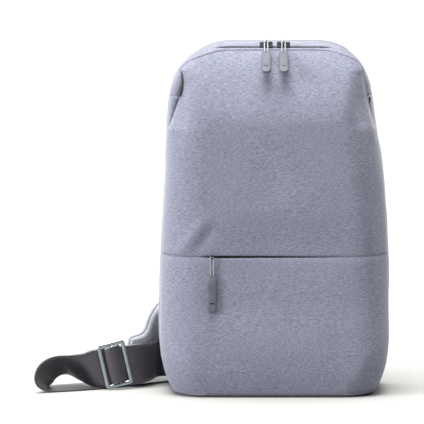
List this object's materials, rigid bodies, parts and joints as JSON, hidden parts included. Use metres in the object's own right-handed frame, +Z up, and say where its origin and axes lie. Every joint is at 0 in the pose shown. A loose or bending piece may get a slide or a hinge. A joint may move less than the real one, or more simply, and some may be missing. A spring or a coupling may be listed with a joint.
{
  "type": "daypack",
  "caption": "Upright single-strap sling pack with a zipped top mouth, a slit front pocket and a padded strap with a sliding webbing adjuster.",
  "frame": {"origin": "centre of the base panel's underside, on the surface that the pack stands on", "axes": "+Z up, -Y towards the pack's front, +X to the right seen from the front"},
  "size_m": [0.3688, 0.1616, 0.3702],
  "materials": {
    "heather_cloth": "heather polyester, lavender grey",
    "base_cloth": "plain dark cloth",
    "back_mesh": "grey air mesh over foam",
    "lining": "thin lining cloth",
    "board": "polyethylene board",
    "zip_tape": "black zip tape with a nylon coil",
    "black_metal": "satin black",
    "bright_metal": "satin",
    "pull_rubber": "blue-grey rubber",
    "webbing": "charcoal satin webbing",
    "adjuster_metal": "pale cool grey, glossy"
  },
  "bodies": {
    "bag": {"base_panel": "base_cloth", "base_stiffener": "board", "front_panel_lower": "heather_cloth", "front_panel_upper": "heather_cloth", "side_gusset_left": "heather_cloth", "side_gusset_right": "heather_cloth", "top_gusset": "heather_cloth", "back_panel": "back_mesh", "back_stiffener": "board", "pocket_inner_wall": "lining", "tablet_sleeve": "lining", "main_zip_rear_tape": "zip_tape", "main_zip_stop_left": "zip_tape", "main_zip_stop_right": "zip_tape", "pocket_zip_tape_upper": "zip_tape", "pocket_zip_tape_lower": "zip_tape", "pocket_zip_stop_left": "black_metal", "pocket_zip_stop_right": "black_metal", "strap_pad": "back_mesh", "strap_top_anchor": "base_cloth", "strap_webbing": "webbing", "webbing_anchor_run": "webbing", "webbing_anchor_tab": "base_cloth"},
    "mouth_flap": {"front_flap": "heather_cloth", "main_zip_front_tape": "zip_tape"},
    "main_slider_left": {"main_slider_left": "black_metal", "main_crown_left": "bright_metal"},
    "main_slider_right": {"main_slider_right": "black_metal", "main_crown_right": "bright_metal"},
    "main_pull_left": {"main_pull_left_bar": "bright_metal", "main_pull_left_sheath": "pull_rubber"},
    "main_pull_right": {"main_pull_right_bar": "bright_metal", "main_pull_right_sheath": "pull_rubber"},
    "pocket_slider": {"pocket_slider": "black_metal", "pocket_crown": "bright_metal"},
    "pocket_pull": {"pocket_pull_bar": "bright_metal", "pocket_pull_sheath": "pull_rubber"},
    "adjuster": {"adjuster_frame": "adjuster_metal", "adjuster_centre_bar": "adjuster_metal", "adjuster_webbing_roll": "webbing"}
  },
  "joints": [
    {"name": "mouth_flap_fold", "type": "hinge", "parent": "bag", "child": "mouth_flap", "pos_m": [0, -0.04678, 0.305], "axis": [1, 0, 0], "range_deg": [0, 60]},
    {"name": "main_slider_left_slide", "type": "slide", "parent": "mouth_flap", "child": "main_slider_left", "axis": [-1, 0, 0], "range_m": [0, 0.033]},
    {"name": "main_slider_right_slide", "type": "slide", "parent": "mouth_flap", "child": "main_slider_right", "axis": [1, 0, 0], "range_m": [0, 0.033]},
    {"name": "main_pull_left_swing", "type": "hinge", "parent": "main_slider_left", "child": "main_pull_left", "pos_m": [-0.009, -0.002, 0.3669], "axis": [-1, 0, 0], "range_deg": [0, 195]},
    {"name": "main_pull_right_swing", "type": "hinge", "parent": "main_slider_right", "child": "main_pull_right", "pos_m": [0.009, -0.002, 0.3669], "axis": [-1, 0, 0], "range_deg": [0, 195]},
    {"name": "pocket_slider_slide", "type": "slide", "parent": "bag", "child": "pocket_slider", "axis": [1, 0, 0], "range_m": [0, 0.13]},
    {"name": "pocket_pull_swing", "type": "hinge", "parent": "pocket_slider", "child": "pocket_pull", "pos_m": [-0.065, -0.0532, 0.1476], "axis": [-1, 0, 0], "range_deg": [0, 175]},
    {"name": "adjuster_slide", "type": "slide", "parent": "bag", "child": "adjuster", "axis": [0.9781, 0.2079, 0], "range_m": [-0.006, 0.006]}
  ]
}
